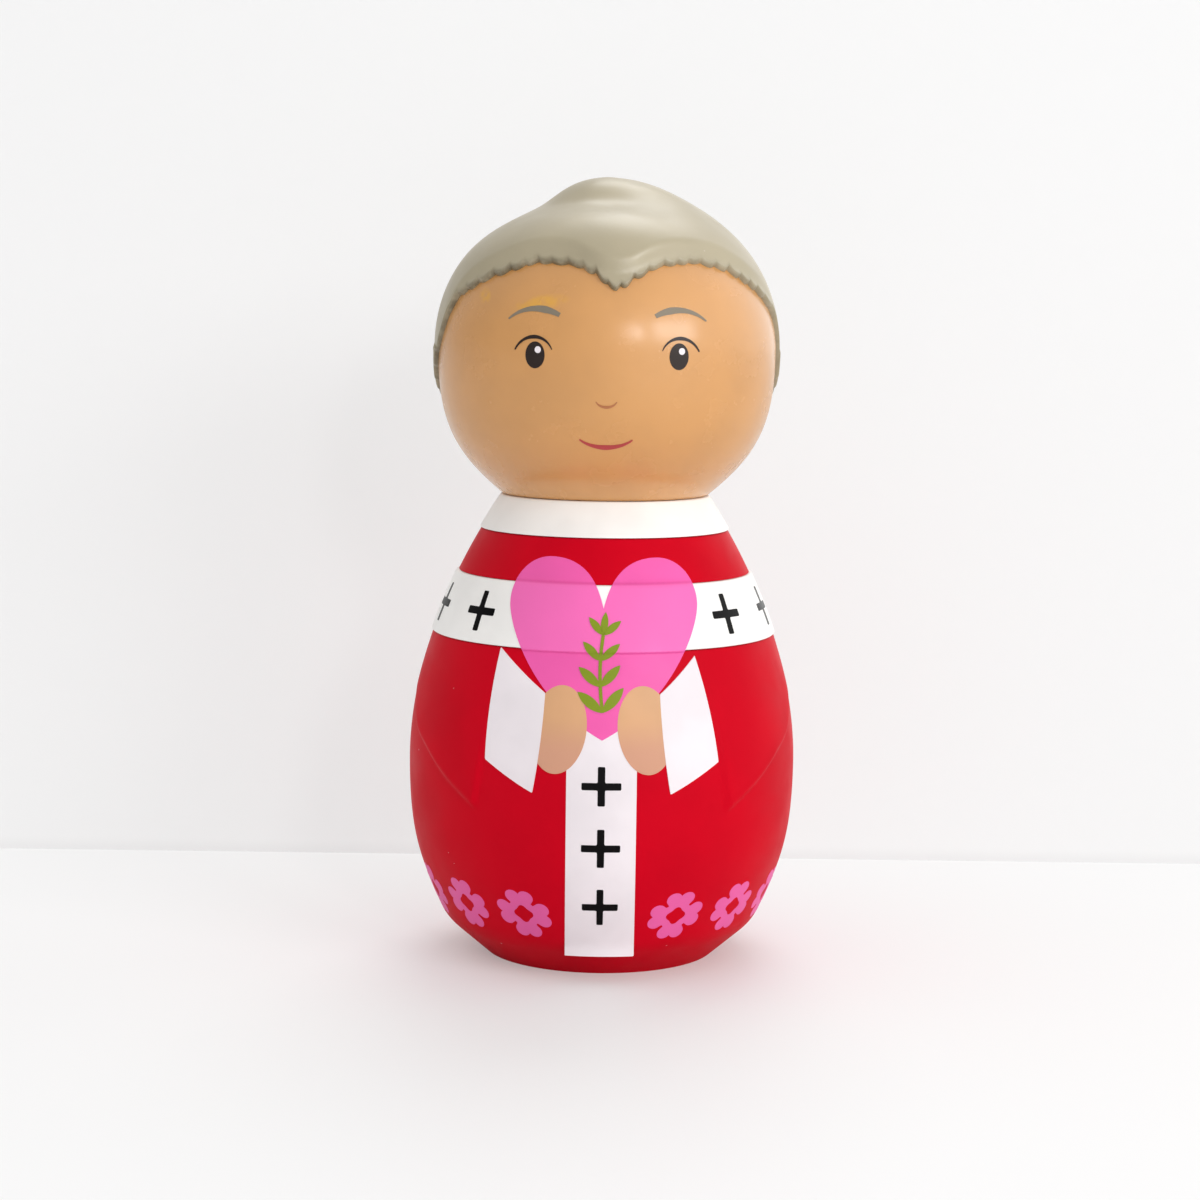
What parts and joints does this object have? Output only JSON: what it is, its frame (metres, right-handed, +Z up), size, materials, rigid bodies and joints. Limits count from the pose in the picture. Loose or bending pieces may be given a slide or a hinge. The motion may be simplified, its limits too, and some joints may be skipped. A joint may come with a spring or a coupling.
{
  "type": "vinyl saint doll",
  "caption": "Pear-shaped hollow vinyl doll in a red robe with a white stole band and collar; the egg-shaped head with moulded grey hair turns on a neck plug.",
  "frame": {"origin": "centre of the doll's foot, on the surface it stands on", "axes": "+Z up through the crown; the doll faces -Y and its left hand is towards +X"},
  "size_m": [0.0666, 0.0666, 0.133],
  "materials": {
    "red_vinyl": "satin soft vinyl",
    "white_vinyl": "satin soft vinyl",
    "skin_vinyl": "satin soft vinyl",
    "grey_vinyl": "satin soft vinyl",
    "plug_plastic": "moulded natural plastic"
  },
  "bodies": {
    "body": {"robe_shell": "red_vinyl", "stole_band": "white_vinyl", "collar_ring": "white_vinyl", "neck_plug": "plug_plastic", "base_stopper": "red_vinyl"},
    "head": {"head_shell": "skin_vinyl", "hair_cap": "grey_vinyl"}
  },
  "joints": [
    {"name": "head_turn", "type": "hinge", "parent": "body", "child": "head", "pos_m": [0, 0, 0.0792], "axis": [0, 0, 1], "continuous": true}
  ]
}
